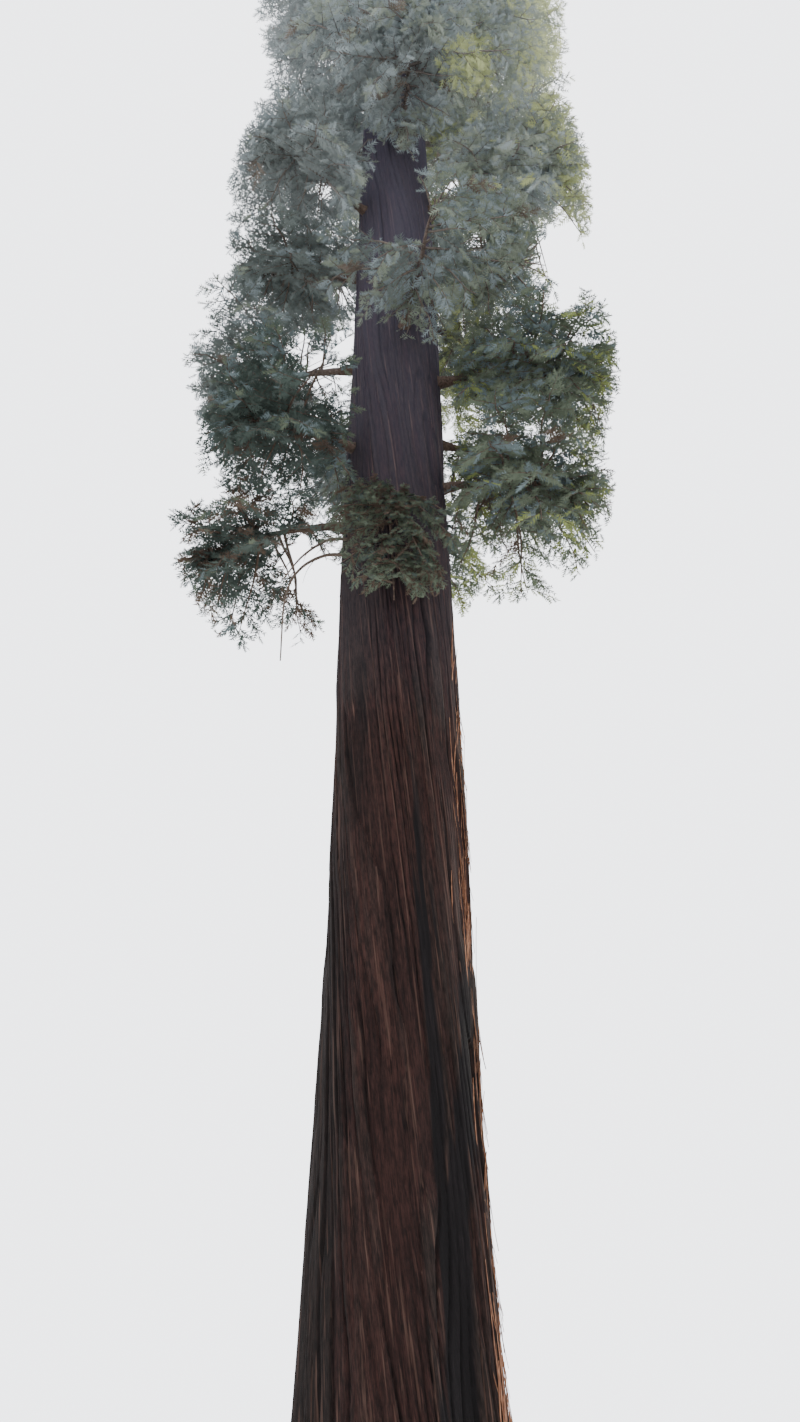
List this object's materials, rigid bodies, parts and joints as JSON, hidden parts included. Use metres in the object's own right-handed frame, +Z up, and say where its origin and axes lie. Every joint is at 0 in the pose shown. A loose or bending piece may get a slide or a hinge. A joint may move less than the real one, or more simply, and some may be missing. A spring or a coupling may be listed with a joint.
{
  "type": "redwood tree",
  "caption": "Tall coast redwood: a straight fluted trunk with furrowed bark, flared foot and fire scar, and a narrow crown of drooping needle sprays on short boughs.",
  "frame": {"origin": "middle of the trunk's flat cut at ground level", "axes": "+Z is up along the trunk, -Y faces the viewer of the picture, and +X is to that viewer's right"},
  "size_m": [6.3312, 6.1201, 39.96],
  "materials": {
    "bark": "rough, fibrous",
    "dead_wood": "rough, weathered",
    "foliage": "matt needles"
  },
  "bodies": {
    "root": {"bare_limb_long": "dead_wood", "bare_limb_short": "dead_wood", "bough_02": "bark", "bough_03": "bark", "bough_04": "bark", "bough_05": "bark", "bough_06": "bark", "bough_07": "bark", "bough_08": "bark", "bough_09": "bark", "bough_10": "bark", "bough_11": "bark", "bough_12": "bark", "bough_13": "bark", "bough_14": "bark", "bough_15": "bark", "bough_16": "bark", "bough_17": "bark", "foliage_01": "foliage", "foliage_02": "foliage", "foliage_03": "foliage", "foliage_04": "foliage", "foliage_05": "foliage", "foliage_06": "foliage", "foliage_07": "foliage", "foliage_08": "foliage", "foliage_09": "foliage", "foliage_10": "foliage", "foliage_11": "foliage", "foliage_12": "foliage", "foliage_13": "foliage", "foliage_14": "foliage", "foliage_15": "foliage", "foliage_16": "foliage", "foliage_17": "foliage", "foliage_18": "foliage", "foliage_19": "foliage", "foliage_20": "foliage", "foliage_21": "foliage", "foliage_22": "foliage", "foliage_23": "foliage", "foliage_24": "foliage", "foliage_25": "foliage", "foliage_26": "foliage", "foliage_27": "foliage", "foliage_28": "foliage", "foliage_29": "foliage", "foliage_30": "foliage", "foliage_31": "foliage", "foliage_32": "foliage", "foliage_33": "foliage", "foliage_34": "foliage", "foliage_35": "foliage", "foliage_36": "foliage", "foliage_37": "foliage", "foliage_38": "foliage", "foliage_39": "foliage", "foliage_40": "foliage", "foliage_leader": "foliage", "trunk": "bark"}
  },
  "joints": []
}
